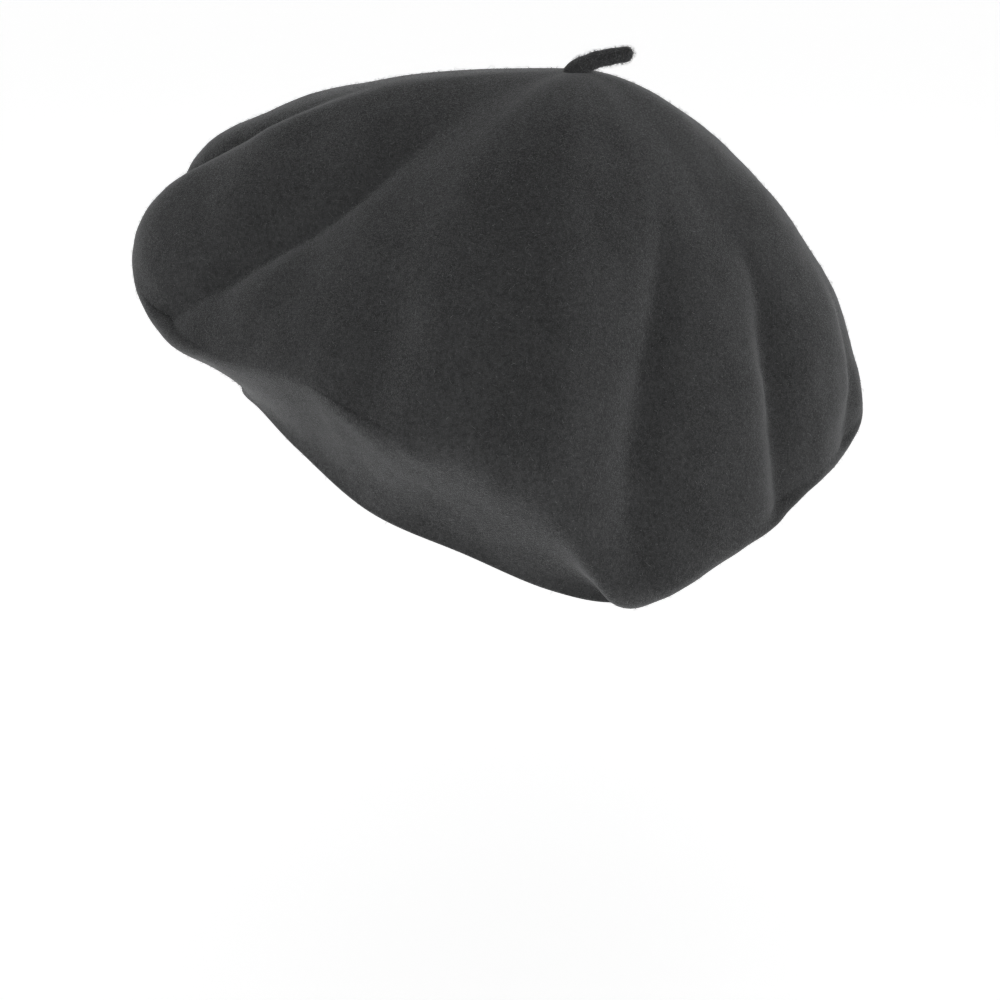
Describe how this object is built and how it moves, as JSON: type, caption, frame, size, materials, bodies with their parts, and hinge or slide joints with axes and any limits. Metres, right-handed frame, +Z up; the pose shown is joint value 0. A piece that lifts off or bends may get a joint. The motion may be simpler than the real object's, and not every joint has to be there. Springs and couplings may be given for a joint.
{
  "type": "felt beret",
  "caption": "Soft wool felt beret worn tilted, its full crown falling in folds, with a felt stalk, satin lining and ribbon sweatband.",
  "frame": {"origin": "middle of the head opening, on the head's upright axis", "axes": "+Z up as worn, -Y the way the wearer faces, +X the wearer's left"},
  "size_m": [0.2192, 0.2393, 0.1718],
  "materials": {
    "felt": "fulled charcoal wool felt with a short nap",
    "satin": "black satin, soft sheen",
    "ribbon": "ribbed grosgrain ribbon",
    "thread": "twisted sewing thread",
    "label": "plain woven taffeta, blank"
  },
  "bodies": {
    "beret": {"felt_body": "felt", "stalk_stitches": "thread", "lining_crown": "satin", "lining_side": "satin", "lining_seam_thread": "thread", "maker_label": "label", "label_thread": "thread", "sweatband": "ribbon", "band_thread": "thread", "sweatband_bow": "ribbon", "tab_thread": "thread"},
    "stalk": {"stalk": "felt"},
    "size_tab": {"size_tab": "label"}
  },
  "joints": [
    {"name": "stalk_lean", "type": "hinge", "parent": "beret", "child": "stalk", "pos_m": [-0.0184, 0.0191, 0.1484], "axis": [0.8387, 0.5446, 0], "range_deg": [-10, 60]},
    {"name": "size_tab_flip", "type": "hinge", "parent": "beret", "child": "size_tab", "pos_m": [-0.04513, 0.07234, 0.01709], "axis": [-0.7199, -0.6941, 0], "range_deg": [0, 70]}
  ]
}
